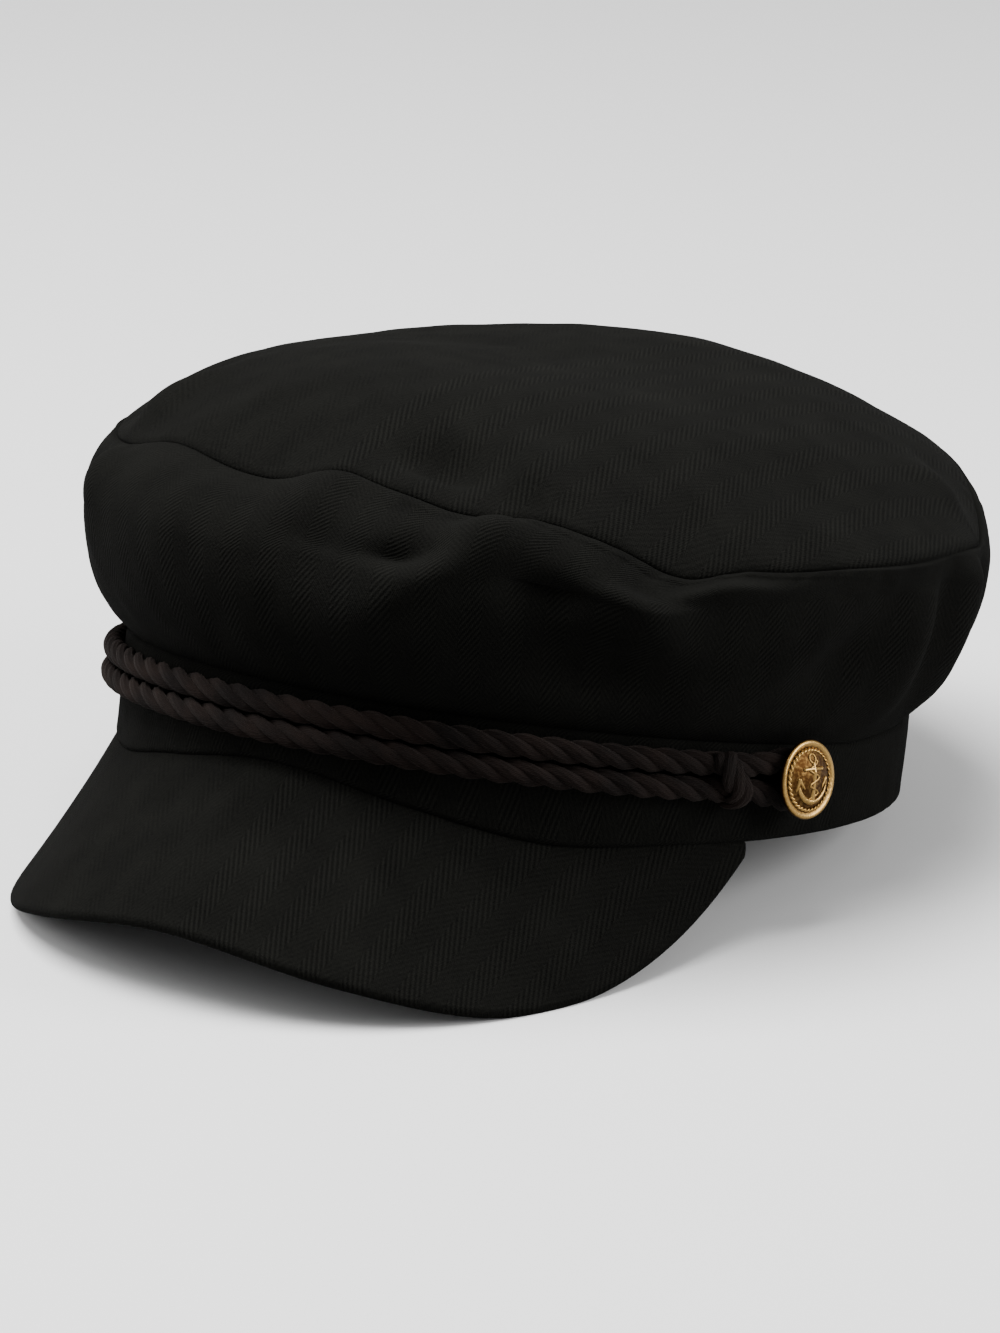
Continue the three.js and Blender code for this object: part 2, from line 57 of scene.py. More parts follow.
BAND_FRONT_ARCH = 0.0115
BAND_FRONT_LIFT = 0.008

# Crown
CROWN_WALL = 0.002
FRONT_OVERHANG = 0.0164
REAR_OVERHANG = 0.0192
LEFT_OVERHANG = 0.013
RIGHT_OVERHANG = 0.0118
BULGE_HEIGHT = 0.057
BULGE_FRONT_RISE = 0.0011
BULGE_LEFT_RISE = 0.0015
BULGE_WAVE_SHARE = 0.5
SEAM_HEIGHT = 0.0705
SEAM_FRONT_INSET = 0.0035
SEAM_REAR_REACH = 0.0054
SEAM_LEFT_REACH = 0.0133
SEAM_RIGHT_REACH = 0.0124
SEAM_FRONT_DROP = 0.0028
SEAM_LEFT_DROP = 0.0007
SEAM_SADDLE = 0.0043
DOME_HEIGHT = 0.0252
DOME_SHIFT = 0.012
DOME_FULLNESS = 3.9
SEAM_WAVE_HEIGHT = 0.004
SEAM_WAVE_FADE = 8
SEAM_GROOVE = 0.0008
SEAM_WIDTH = 0.0009
SEAM_LEAN = 0.8
SEAM_CLIMB = 0.4
FOOT_ROLL = 0.4
FOOT_TUCK = 0.004

# Folds of the crown: their depth, and how steeply they die out at the foot and at the seam
FOLD_DEPTH = 0.007
FOOT_FADE = 6
SEAM_FADE = 8
TOP_FOLD_FADE = 12

# Gathers beside the seam, and the ridge of the cloth folded under it. The wearer's left front is the
# loosest stretch.
LOOSE_SEAM_ANGLE = 45
LOOSE_SEAM_SPREAD = 32
PUCKER_DISTANCE = 0.004
PUCKER_HEIGHT = 0.0003
LOOSE_PUCKER_HEIGHT = 0.0005
RIDGE_HEIGHT = 0.0004
RIDGE_WIDTH = 0.0035
RIDGE_EDGE = 0.0015

# Visor
VISOR_WALL = 0.003
VISOR_LENGTH = 0.050
VISOR_CORNER = 0.0025
VISOR_HALF_ANGLE = 71
VISOR_FRONT_SLOPE = 38
VISOR_SIDE_SLOPE = 79
VISOR_FAN = 0.67
VISOR_FULLNESS = 2.8
VISOR_TUCK_IN = 0.0028
VISOR_TUCK_UP = 0.0045
VISOR_TUCK_THINNING = 0.7

# Cord and knots
CORD_WIDTH = 0.0055
CORD_THICKNESS = 0.0046
CORD_LAY = 0.020
CORD_DROP = 0.0072
CORD_SPREAD = 8
YARNS = 8
YARN_BASE = 0.91
YARN_RISE = 0.15
STRAND_SHARE = 0.27
STRAND_GIRTH = 0.012
STRAND_TAPER = 0.0015
FIBRE_HEIGHT = 0.00006
FIBRE_SIZE = 0.0012
FIBRE_SPREAD = 0.02
STRAND_SIDES = 40
KNOT_LAY = 0.016
KNOT_WIDTH = 0.0064
KNOT_THICKNESS = 0.0032
LEFT_KNOT_DISTANCE = 0.019
RIGHT_KNOT_DISTANCE = 0.016
KNOT_SLANT = 0.0045
KNOT_POINTS = 200
KNOT_TWIST = 0.6

# Buttons
BUTTON_DIAMETER = 0.0178
BUTTON_DOME = 0.003
BUTTON_THICKNESS = 0.001
BUTTON_RIM = 0.0016
BUTTON_STEP = 0.0001
FIELD_EDGE = 0.98
DOME_ARC = pi / 2.6
BUTTON_TILT = 7
LEFT_BUTTON_ANGLE = 75.5
RIGHT_BUTTON_ANGLE = 84
POST_DIAMETER = 0.003
RELIEF = 0.0006
ANCHOR_UNIT = 0.00118
BORDER_PLACE = 0.93
BORDER_THREAD = 0.00028
BORDER_TWIST = 0.0002
BORDER_TURNS = 36

GAP = 0.0003

# The headband's lower edge: angle from the front, rise as a share of BAND_FRONT_ARCH
BAND_EDGE = [(0, 1), (20, 0.61), (40, 0.11), (60, 0.12), (80, 0.12), (115, 0.08), (180, 0)]

# Waves of the seam round the top panel: angle, spread, lift as a share of SEAM_WAVE_HEIGHT
SEAM_WAVES = [
    (-25, 10, 0.88),
    (4, 6, 1.25),
    (13, 6, 0.58),
    (30, 7, 0.57),
    (49, 7, -1.3),
    (62, 8, -0.38),
    (120, 14, -1.42),
    (160, 32, 1.19),
    (-80, 16, 0.85),
    (-135, 14, -0.5),
]

# Folds of the side panel: angle, height as a share of the way to the seam, spread in degrees,
# reach up and down, lean over the whole height, and depth as a share of FOLD_DEPTH
SIDE_FOLDS = [
    (7, 0.62, 7, 0.2, 0, -0.75),
    (18, 0.64, 4, 0.1, 10, -0.65),
    (27, 0.78, 5, 0.16, 0, 0.75),
    (21, 0.5, 5, 0.14, 25, 0.6),
    (13, 0.34, 8, 0.13, 0, 0.3),
    (37, 0.52, 6, 0.16, 0, -0.95),
    (47, 0.52, 5, 0.14, -30, 0.7),
    (42, 0.26, 12, 0.13, 0, -0.95),
    (58, 0.66, 6, 0.1, 0, 0.4),
    (78, 0.32, 5, 0.12, 30, -0.5),
    (91, 0.35, 4, 0.2, 0, 0.45),
    (97, 0.4, 4, 0.2, 0, -0.4),
    (104, 0.45, 4.5, 0.3, 0, 0.5),
    (113, 0.45, 5, 0.3, 0, -0.5),
    (150, 0.45, 8, 0.25, 20, -0.5),
    (-172, 0.5, 7, 0.22, -20, 0.4),
    (-140, 0.4, 8, 0.22, 10, -0.5),
    (-105, 0.5, 7, 0.25, -20, 0.4),
    (-80, 0.4, 7, 0.22, 10, -0.5),
    (-48, 0.6, 6, 0.25, 0, -0.5),
    (-37, 0.7, 4.5, 0.22, 0, 0.5),
    (-12, 0.7, 9, 0.2, 0, 0.3),
]

# Dents of the top panel: angle, reach as a share of the way to the seam, spread in degrees,
# width as a share of that way, and depth as a share of FOLD_DEPTH
TOP_FOLDS = [
    (17, 0.89, 8, 0.07, -0.65),
    (29, 0.88, 5, 0.09, 0.4),
    (-44, 0.88, 5, 0.12, 0.5),
    (-55, 0.85, 6, 0.12, -0.4),
    (112, 0.9, 6, 0.08, 0.4),
    (75, 0.82, 12, 0.1, -0.3),
    (165, 0.8, 12, 0.12, -0.3),
    (-120, 0.8, 12, 0.12, -0.3),
]

# A knot's way over the two runs of cord: out as a share of its reach, up as a share of its height,
# and back from the button as a share of half its slant
KNOT_WAY = [
    (0.16, -0.92, -1),
    (0.45, -1, -1),
    (0.8, -0.86, -1),
    (0.98, -0.55, -0.9),
    (1, -0.2, -0.45),
    (1, 0.2, 0.45),
    (0.98, 0.55, 0.9),
    (0.8, 0.86, 1),
    (0.55, 0.97, 1),
]

# Small rises of the cloth: height, size, squash of the upright direction, and seed
SIDE_RUMPLES = [(0.0008, 0.019, 0.7, 0), (0.0003, 0.008, 1, 5)]
TOP_RUMPLES = [(0.0006, 0.028, 1, 3), (0.00025, 0.010, 1, 7)]
BAND_RUMPLES = [(0.00025, 0.012, 1, 21), (0.00012, 0.005, 1, 23)]
VISOR_RUMPLES = [(0.00015, 0.02, 1, 31)]

# Points of the visor's section that can touch the table: out as a share of its length, and up as a
# share of its wall
VISOR_TIPS = [(1, 0), (0.94, -0.3), (0.97, -0.5)]

# The rim's profile, from the button's back and then from its edge: in from its widest, and outwards
RIM_BACK = [(0.0007, 0), (0.0002, 0.0002), (0, 0.0007)]
RIM_FRONT = [(0.0002, 0.0002), (0.0007, 0.0004), (0.0012, 0.0002)]

# Size of the flat cloth: round the crown, up its side, round and across the headband
FLAT_CROWN_GIRTH = 0.64
FLAT_SIDE_HEIGHT = 0.11
FLAT_TOP_STRETCH = 1.04
FLAT_BAND_GIRTH = 0.6
FLAT_BAND_WIDTH = 0.048

# The weave: the width of a herringbone column, the pitch and slant of its lines, and their heights
WEAVE_COLUMN = 0.0047
WEAVE_PITCH = 0.0011
WEAVE_SLANT = 28
EVEN_LINES = 0.1
ODD_LINES_MORE = 0.24
FLOAT_LINES = 0.12

# Fibre lines of a strand: radians per metre round it and along it, and the most that fuzz bends them
LINES_ROUND = 13000.0
LINES_ALONG = 1800.0
LINES_BEND = 4.0

# Lamps: name, place, size and power
LAMPS = [
    ("softbox_above", (-0.3, -0.35, 1.5), 1.1, 52),
    ("softbox_left", (-1.4, -0.7, 0.75), 0.9, 12),
    ("softbox_right", (1.3, 0.5, 0.6), 0.9, 16),
]
LIT_POINT = (0, 0, 0.05)
SKY_STRENGTH = 0.38
FLOOR_HALF_WIDTH = 12

# The photograph's view of the level cap, and the height of its picture in camera pixels
VIEW_AZIMUTH = 29.94
VIEW_ELEVATION = 9.95
VIEW_ROLL = 6.29
VIEW_DISTANCE = 1.3068
VIEW_TARGET = (0.00309, -0.01628, 0.02488)
VIEW_FOCAL_PIXELS = 5694.4
PICTURE_HEIGHT = 1333


# Shapes

def bell(distance, spread):
    return np.exp(-((distance / spread) ** 2))


def angle_between(a, b):
    return (a - b + 180) % 360 - 180


def mix(a, b, share):
    return a + (b - a) * share


def towards_end(share):
    """Even shares, crowded together near 1."""
    return share + 0.5 * share * (1 - share)


def smooth_step(share):
    share = np.clip(share, 0, 1)
    return share * share * (3 - 2 * share)


def unit(directions):
    return directions / np.linalg.norm(directions, axis=-1, keepdims=True)


def smooth_curve(rows, at):
    """A smooth curve through rows of place and value, level at its ends."""
    places, values = np.array(rows, float).T
    steepness = np.diff(values) / np.diff(places)
    slopes = np.concatenate(([0], (steepness[1:] + steepness[:-1]) / 2, [0]))
    i = np.clip(np.searchsorted(places, at, side="right") - 1, 0, len(places) - 2)
    width = places[i + 1] - places[i]
    t = (at - places[i]) / width
    rise = values[i] + (values[i + 1] - values[i]) * t * t * (3 - 2 * t)
    return rise + width * t * (1 - t) * (slopes[i] * (1 - t) - slopes[i + 1] * t)


def points(x, y, z):
    return np.stack(np.broadcast_arrays(x, y, z), axis=-1).astype(float)


def oval(angle, height, left, right, front, rear):
    """Points of an egg-shaped oval that reaches as far as said to each side."""
    across = np.sin(np.radians(angle))
    along = -np.cos(np.radians(angle))
    x = across * np.where(across > 0, left, right)
    y = along * np.where(along > 0, rear, front)
    return points(x, y, height)


def band_edge_height(angle):
    return BAND_FRONT_ARCH * smooth_curve(BAND_EDGE, np.abs(angle_between(angle, 0)))


def band_top_height(angle):
    return BAND_HEIGHT + BAND_FRONT_LIFT * np.maximum(0, np.cos(np.radians(angle)))


def band_point(angle, height, offset=0.0):
    wide = BAND_WIDTH / 2 + offset
    long = BAND_LENGTH / 2 + offset
    return oval(angle, height, wide, wide, long, long)


def band_normal(angle):
    turn = np.radians(angle)
    return unit(points(np.sin(turn) / BAND_WIDTH, -np.cos(turn) / BAND_LENGTH, 0))


def seam_wave(angle):
    waves = sum(lift * bell(angle_between(angle, at), spread) for at, spread, lift in SEAM_WAVES)
    return SEAM_WAVE_HEIGHT * waves


def seam_point(angle, wave_share=1.0):
    """The seam between the side and the top panel, with a share of its waves."""
    turn = np.radians(angle)
    height = (
        SEAM_HEIGHT
        - SEAM_FRONT_DROP * np.cos(turn)
        - SEAM_LEFT_DROP * np.sin(turn)
        + SEAM_SADDLE * np.cos(2 * turn)
        + wave_share * seam_wave(angle)
    )
    return oval(
        angle,
        height,
        left=BAND_WIDTH / 2 + SEAM_LEFT_REACH,
        right=BAND_WIDTH / 2 + SEAM_RIGHT_REACH,
        front=BAND_LENGTH / 2 - SEAM_FRONT_INSET,
        rear=BAND_LENGTH / 2 + SEAM_REAR_REACH,
    )


def plain_side(angle, share):
    """The side panel without its folds, from its foot on the headband at 0 to the seam at 1."""
    turn = np.radians(angle)
    foot = band_point(angle, band_top_height(angle) + GAP, -CROWN_WALL / 4)
    bulge_rise = BULGE_FRONT_RISE * np.cos(turn) + BULGE_LEFT_RISE * np.sin(turn)
    bulge = oval(
        angle,
        BULGE_HEIGHT + bulge_rise + BULGE_WAVE_SHARE * seam_wave(angle),
        left=BAND_WIDTH / 2 + LEFT_OVERHANG,
        right=BAND_WIDTH / 2 + RIGHT_OVERHANG,
        front=BAND_LENGTH / 2 + FRONT_OVERHANG,
        rear=BAND_LENGTH / 2 + REAR_OVERHANG,
    )
    seam = seam_point(angle)
    round_share = np.sin(np.pi * share)
    rise_share = np.cos(np.pi * share)
    lower_up = mix(2 * share, 1 - rise_share, FOOT_ROLL)
    upper_up = mix(-rise_share, 2 * share - 1, SEAM_CLIMB)
    lower = np.concatenate(
        (
            mix(foot[..., :2], bulge[..., :2], round_share[..., None]),
            mix(foot[..., 2:], bulge[..., 2:], lower_up[..., None]),
        ),
        axis=-1,
    )
    upper = np.concatenate(
        (
            mix(bulge[..., :2], seam[..., :2], 1 - round_share[..., None]),
            mix(bulge[..., 2:], seam[..., 2:], upper_up[..., None]),
        ),
        axis=-1,
    )
    return np.where(share[..., None] <= 0.5, lower, upper)


def plain_top(angle, reach):
    """The top panel without its dents, from its centre at 0 to the seam at 1."""
    seam = seam_point(angle, reach**SEAM_WAVE_FADE)
    middle = (SEAM_REAR_REACH + SEAM_FRONT_INSET) / 2
    seam_rise = (seam[..., 2] - SEAM_HEIGHT) * reach
    dome_rise = DOME_HEIGHT * (1 - reach**DOME_FULLNESS)
    return points(
        seam[..., 0] * reach - DOME_SHIFT * (1 - reach),
        mix(middle, seam[..., 1], reach),
        SEAM_HEIGHT + seam_rise + dome_rise,
    )


def outward(surface, angle, share, flip=1):
    """The outward direction of a surface given by an angle and a share, evened out around it."""
    angle_step = 2
    share_step = 0.07
    along = surface(angle + angle_step, share) - surface(angle - angle_step, share)
    lower = np.maximum(share - share_step, 0)
    upper = np.minimum(share + share_step, 1)
    across = surface(angle, upper) - surface(angle, lower)
    return unit(flip * np.cross(along, across))


def side_fold_depth(angle, share):
    total = 0
    for at, height, spread, reach, lean, depth in SIDE_FOLDS:
        centre = at + lean * (share - height)
        across = bell(angle_between(angle, centre), spread)
        total = total + depth * across * bell(share - height, reach)
    fade = np.minimum(1, np.minimum(FOOT_FADE * share, SEAM_FADE * (1 - share)))
    return FOLD_DEPTH * total * fade


def top_fold_depth(angle, reach):
    total = 0
    for at, place, spread, width, depth in TOP_FOLDS:
        across = bell(angle_between(angle, at), spread)
        total = total + depth * across * bell(reach - place, width)
    return FOLD_DEPTH * total * np.minimum(1, TOP_FOLD_FADE * (1 - reach))


def sewn(at, normal, height, angle, from_seam):
    """Points raised by a height, except that both panels dip to the same line at their seam."""
    edge = bell(from_seam, SEAM_WIDTH)[:, None]
    inward = unit(band_normal(angle) + np.array((0, 0, SEAM_LEAN)))
    return at + normal * height[:, None] * (1 - edge) - inward * edge * SEAM_GROOVE


def rumple(where, size, seed=0.0):
    """Smooth random rises from -1 to 1, about as wide as the size said."""
    return np.array([noise.noise(Vector(at) / size + Vector((seed, 0, 0))) for at in where])


def rumpled(where, rumples):
    """The sum of the smooth random rises that a table gives."""
    return sum(
        height * rumple(where * (1, 1, squash), size, seed) for height, size, squash, seed in rumples
    )


def puckered(angle, from_seam, height, size, reach, seed):
    """Gathers along the seam, a little way from it."""
    gathers = rumple(seam_point(angle), size, seed)
    return height * gathers * bell(from_seam - PUCKER_DISTANCE, reach)


def visor_frame(angle):
    share = angle / VISOR_HALF_ANGLE
    slope = np.radians(VISOR_FRONT_SLOPE + (VISOR_SIDE_SLOPE - VISOR_FRONT_SLOPE) * share**2)
    heading = np.radians(VISOR_FAN * angle)
    away = points(
        np.cos(slope) * np.sin(heading), -np.cos(slope) * np.cos(heading), -np.sin(slope)
    )
    face = points(
        np.sin(slope) * np.sin(heading), -np.sin(slope) * np.cos(heading), np.cos(slope)
    )
    root_height = band_edge_height(angle) - GAP - VISOR_WALL / 2 * np.cos(slope)
    root = band_point(angle, root_height, -BAND_WALL / 2)
    fullness = 1 - np.abs(share) ** VISOR_FULLNESS
    length = VISOR_CORNER + (VISOR_LENGTH - VISOR_CORNER) * fullness
    return root, away, face, length


# Resting pose: the cap tips back onto its visor's two low points and the rear of the headband.

def rest_tilt():
    root, away, face, length = visor_frame(np.linspace(-VISOR_HALF_ANGLE, VISOR_HALF_ANGLE, 41))
    rear_foot = band_point(180.0, 0.0)
    lowest = 0
    for out, up in VISOR_TIPS:
        at = root + away * (out * length)[:, None] + face * up * VISOR_WALL
        tilt = np.arctan2(rear_foot[2] - at[:, 2], rear_foot[1] - at[:, 1])
        lowest = max(lowest, tilt.max())
    return lowest


def rest_place():
    """The matrix that takes the level cap to its solids' place."""
    tip = Matrix.Rotation(-rest_tilt(), 4, "X")
    angles = np.linspace(-180, 180, 73)
    edges = np.concatenate(
        (band_point(angles, band_edge_height(angles)), band_point(angles, band_top_height(angles)))
    )
    tipped = [tip @ Vector(at) for at in edges]
    low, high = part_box("headband")
    top = max(at.z for at in tipped)
    left = max(at.x for at in tipped)
    front = min(at.y for at in tipped)
    return Matrix.Translation((high.x - left, low.y - front, high.z - top)) @ tip


REST = rest_place()


def laid(where, soft=True):
    """Level points in their place on the table; soft ones are pressed flat by it."""
    turned = where @ np.array(REST.to_3x3()).T + np.array(REST.translation)
    if soft:
        turned[..., 2] = np.maximum(turned[..., 2], 0)
    return turned


# Making pieces

def shaped_grid(columns, rows, surface, flat_place):
    """A grid moved onto a surface given by two shares, with its place on the flat cloth as UVs."""
    bm = bmesh.new()
    uv_layer = bm.loops.layers.uv.new("cloth")
    bmesh.ops.create_grid(bm, x_segments=columns, y_segments=rows, size=1, calc_uvs=True)
    bm.verts.index_update()
    shares = (np.array([vert.co.xy for vert in bm.verts]) + 1) / 2
    placed = surface(shares[:, 0], shares[:, 1])
    flat = flat_place(shares[:, 0], shares[:, 1])
    for vert, at in zip(bm.verts, placed):
        vert.co = at
    for face in bm.faces:
        for loop in face.loops:
            loop[uv_layer].uv = flat[loop.vert.index]
    return bm


def closed(bm):
    """Joins edges that meet, and turns the faces outwards."""
    bmesh.ops.remove_doubles(bm, verts=bm.verts, dist=1e-6)
    bmesh.ops.recalc_face_normals(bm, faces=bm.faces)
    return bm


def join_into(bm, added):
    """Puts the faces of one mesh into another."""
    part = bpy.data.meshes.new("part")
    added.to_mesh(part)
    added.free()
    bm.from_mesh(part)
    bpy.data.meshes.remove(part)


def piece(name, bm, material, slot, *nodes):
    """A finished piece that rides on the cap and stands for some of its solids."""
    mesh = bpy.data.meshes.new(name)
    bm.to_mesh(mesh)
    bm.free()
    mesh.polygons.foreach_set("use_smooth", [True] * len(mesh.polygons))
    made = bpy.data.objects.new(name, mesh)
    bpy.context.scene.collection.objects.link(made)
    mesh.materials.append(material)
    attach(made, "root")
    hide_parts(*nodes)
    return made


def thicken(made, wall):
    solidify = made.modifiers.new("wall", "SOLIDIFY")
    solidify.thickness = wall
    solidify.offset = -1
    solidify.use_even_offset = False
    return made


# Cloth

def crown_side(wool):
    tucked = 0.05

    def surface(u, v):
        angle = 180 - 360 * u
        share = towards_end(np.maximum(v - tucked, 0) / (1 - tucked))
        tuck = np.maximum(tucked - v, 0) / tucked
        at = plain_side(angle, share)
        normal = outward(plain_side, angle, share)
        height = side_fold_depth(angle, share)
        loose = smooth_step(FOOT_FADE * share) * smooth_step(SEAM_FADE * (1 - share))
        height += loose * rumpled(at, SIDE_RUMPLES)
        from_seam = np.linalg.norm(at - seam_point(angle), axis=-1)
        loose_seam = bell(angle_between(angle, LOOSE_SEAM_ANGLE), LOOSE_SEAM_SPREAD)
        pucker_height = PUCKER_HEIGHT + LOOSE_PUCKER_HEIGHT * loose_seam
        height += puckered(angle, from_seam, pucker_height, size=0.0045, reach=0.0025, seed=9)
        ridge = smooth_step(1 - (from_seam - RIDGE_WIDTH) / RIDGE_EDGE)
        height += RIDGE_HEIGHT * loose_seam * ridge
        inward = smooth_step(2 * tuck) * (BAND_WALL + GAP)
        at = sewn(at, normal, height, angle, from_seam) - band_normal(angle) * inward[:, None]
        at[:, 2] -= FOOT_TUCK * tuck
        return laid(at)

    def flat_place(u, v):
        return np.stack((FLAT_CROWN_GIRTH * u, FLAT_SIDE_HEIGHT * towards_end(v)), -1)

    bm = closed(shaped_grid(560, 84, surface, flat_place))
    return thicken(piece("crown_side_cloth", bm, wool, "wool", "crown_side"), CROWN_WALL)


def crown_top(wool):
    def surface(u, v):
        angle = 180 - 360 * u
        reach = towards_end(1 - v)
        at = plain_top(angle, reach)
        off_centre = np.maximum(reach, 0.01)
        normal = outward(plain_top, angle, off_centre, flip=-1)
        height = top_fold_depth(angle, reach)
        height += smooth_step(SEAM_FADE * (1 - reach)) * rumpled(at, TOP_RUMPLES)
        from_seam = np.linalg.norm(at - seam_point(angle), axis=-1)
        height += puckered(angle, from_seam, PUCKER_HEIGHT, size=0.005, reach=0.003, seed=13)
        return laid(sewn(at, normal, height, angle, from_seam))

    def flat_place(u, v):
        at = plain_top(180 - 360 * u, towards_end(1 - v))
        return at[:, :2] * FLAT_TOP_STRETCH

    bm = closed(shaped_grid(480, 90, surface, flat_place))
    return thicken(piece("crown_top_cloth", bm, wool, "wool", "crown_top"), CROWN_WALL)


def section_side(v, sides):
    """Which side of a section a share of the way round it falls on, and the share along that side."""
    around = v * sides
    side = np.floor(np.minimum(around, sides - 0.001))
    return side, around - side


def headband(wool):
    half = BAND_WALL / 2

    def surface(u, v):
        angle = 180 - 360 * u
        low = band_edge_height(angle)
        high = band_top_height(angle)
        straight = high - low - BAND_WALL
        side, share = section_side(v, 4)
        bend = np.pi * share
        up = np.select(
            [side == 0, side == 1, side == 2],
            [
                half + straight * share,
                half + straight + half * np.sin(bend),
                half + straight * (1 - share),
            ],
            half - half * np.sin(bend),
        )
        out = np.select(
            [side == 0, side == 1, side == 2],
            [0 * share, -half + half * np.cos(bend), -BAND_WALL + 0 * share],
            -half - half * np.cos(bend),
        )
        at = band_point(angle, low + up, out)
        return laid(at + band_normal(angle) * rumpled(at, BAND_RUMPLES)[:, None])

    def flat_place(u, v):
        return np.stack((FLAT_BAND_GIRTH * u, FLAT_BAND_WIDTH * v), -1)

    bm = closed(shaped_grid(480, 48, surface, flat_place))
    return piece("headband_cloth", bm, wool, "wool", "headband")


def visor(wool):
    half = VISOR_WALL / 2

    def parts(u, v):
        """The section's sides: upper face, round edge, lower face, and a tuck inside the band."""
        angle = VISOR_HALF_ANGLE * (1 - 2 * u)
        root, away, face, length = visor_frame(angle)
        inset = np.minimum(half, length / 2)
        straight = length - inset
        side, share = section_side(v, 5)
        bend = np.pi * share
        out = np.select(
            [side == 0, side == 1, side == 2],
            [straight * share, straight + inset * np.sin(bend), straight * (1 - share)],
            0 * share,
        )
        up = np.select(
            [side == 0, side == 1, side == 2, side == 3],
            [
                half + 0 * share,
                half * np.cos(bend),
                -half + 0 * share,
                -half * (1 - VISOR_TUCK_THINNING * share),
            ],
            half * (1 - VISOR_TUCK_THINNING * (1 - share)),
        )
        tuck = np.select([side == 3, side == 4], [share, 1 - share], 0 * share)
        root = root - band_normal(angle) * (VISOR_TUCK_IN * smooth_step(2 * tuck))[:, None]
        root[:, 2] += VISOR_TUCK_UP * tuck
        return root, away, face, out, up

    def surface(u, v):
        root, away, face, out, up = parts(u, v)
        rise = rumpled(root + away * out[:, None], VISOR_RUMPLES) * np.sign(up)
        end = np.minimum(u, 1 - u) < 1e-6
        out = np.where(end, VISOR_CORNER / 2, out)
        up = np.where(end, 0, up + rise)
        return laid(root + away * out[:, None] + face * up[:, None])

    def flat_place(u, v):
        root, away, face, out, up = parts(u, v)
        level = away[:, :2] / np.linalg.norm(away[:, :2], axis=-1, keepdims=True)
        return root[:, :2] + level * (out + np.where(up < 0, VISOR_WALL, 0))[:, None]

    bm = closed(shaped_grid(300, 130, surface, flat_place))
    return piece("visor_cloth", bm, wool, "wool", "visor")


# Cord

CORD_OFFSET = CORD_THICKNESS / 2 + GAP
RUN_SPACING = (CORD_WIDTH + GAP) / 2
POST_SPACING = CORD_WIDTH / 2 + GAP + POST_DIAMETER / 2
RUN_POINTS = 400
TURN_POINTS = 40


def button_angle(side):
    return LEFT_BUTTON_ANGLE if side > 0 else -RIGHT_BUTTON_ANGLE


def pair_height(angle):
    return band_top_height(angle) - CORD_DROP


def cord_run(side):
    """Along the front to a button. The upper run goes to the left one, the lower run comes back."""
    start = button_angle(-side)
    end = button_angle(side)
    angle = np.linspace(start, end, RUN_POINTS, endpoint=False)
    near = np.minimum(np.abs(angle - start), np.abs(end - angle)) / CORD_SPREAD
    spacing = mix(POST_SPACING, RUN_SPACING, smooth_step(near))
    return band_point(angle, pair_height(angle) + side * spacing, CORD_OFFSET), band_normal(angle)


def cord_turn(side):
    """Half round a button's post, from one run to the other."""
    turn = np.linspace(0, np.pi, TURN_POINTS, endpoint=False)
    angle = np.full(TURN_POINTS, float(button_angle(side)))
    normal = band_normal(angle)
    forward = points(-normal[:, 1], normal[:, 0], 0)
    height = pair_height(angle) + side * POST_SPACING * np.cos(turn)
    at = band_point(angle, height, CORD_OFFSET)
    return at + forward * (side * POST_SPACING * np.sin(turn))[:, None], normal


def rope(route, normals, width, thickness, lay, ring, steps_per_lay, start=0.0):
    """Three twisted strands along a route. A ring is closed, and others taper at their ends."""
    if ring:
        route = np.vstack((route, route[:1]))
        normals = np.vstack((normals, normals[:1]))
    walked = np.concatenate(([0], np.cumsum(np.linalg.norm(np.diff(route, axis=0), axis=1))))
    length = walked[-1]
    lays = round(3 * length / lay) / 3 if ring else length / lay
    steps = int(round(lays * steps_per_lay))
    near = 0.002
    middle = 0.5 - STRAND_SHARE
    joined = bmesh.new()

    def along(share, table):
        place = share * length
        return np.stack([np.interp(place, walked, table[:, k]) for k in range(3)], -1)

    for number in range(3):
        def surface(u, v):
            at = along(u, route)
            ahead = (u + near) % 1 if ring else np.minimum(u + near, 1)
            behind = (u - near) % 1 if ring else np.maximum(u - near, 0)
            tangent = unit(along(ahead, route) - along(behind, route))
            out = along(u, normals)
            out = unit(out - tangent * (out * tangent).sum(-1, keepdims=True))
            side = np.cross(tangent, out)
            twist = 2 * np.pi * (lays * u + number / 3) + start
            around = 2 * np.pi * v
            yarn = YARN_BASE + YARN_RISE * np.abs(np.cos(YARNS / 2 * around - 2 * twist))
            from_end = np.minimum(u, 1 - u) * length / STRAND_TAPER
            end = 1 if ring else np.sqrt(smooth_step(from_end))
            across = middle * np.cos(twist) + STRAND_SHARE * yarn * end * np.cos(around)
            beside = middle * np.sin(twist) + STRAND_SHARE * yarn * end * np.sin(around)
            fibre_place = at + out * across[:, None] * FIBRE_SPREAD
            fuzz = FIBRE_HEIGHT * rumple(fibre_place, FIBRE_SIZE, number)
            move = out * (across * thickness + fuzz)[:, None] + side * (beside * width)[:, None]
            return laid(at + move, soft=False)

        def flat_place(u, v):
            return np.stack((u * length, v * STRAND_GIRTH), -1)

        join_into(joined, closed(shaped_grid(steps, STRAND_SIDES, surface, flat_place)))
    return joined


def cord_loop(yarn):
    stretches = [cord_run(1), cord_turn(1), cord_run(-1), cord_turn(-1)]
    route = np.vstack([at for at, normal in stretches])
    normals = np.vstack([normal for at, normal in stretches])
    bm = rope(
        route, normals, CORD_WIDTH, CORD_THICKNESS, CORD_LAY, ring=True, steps_per_lay=24
    )
    return piece("cord_rope", bm, yarn, "cord", "cord_loop")


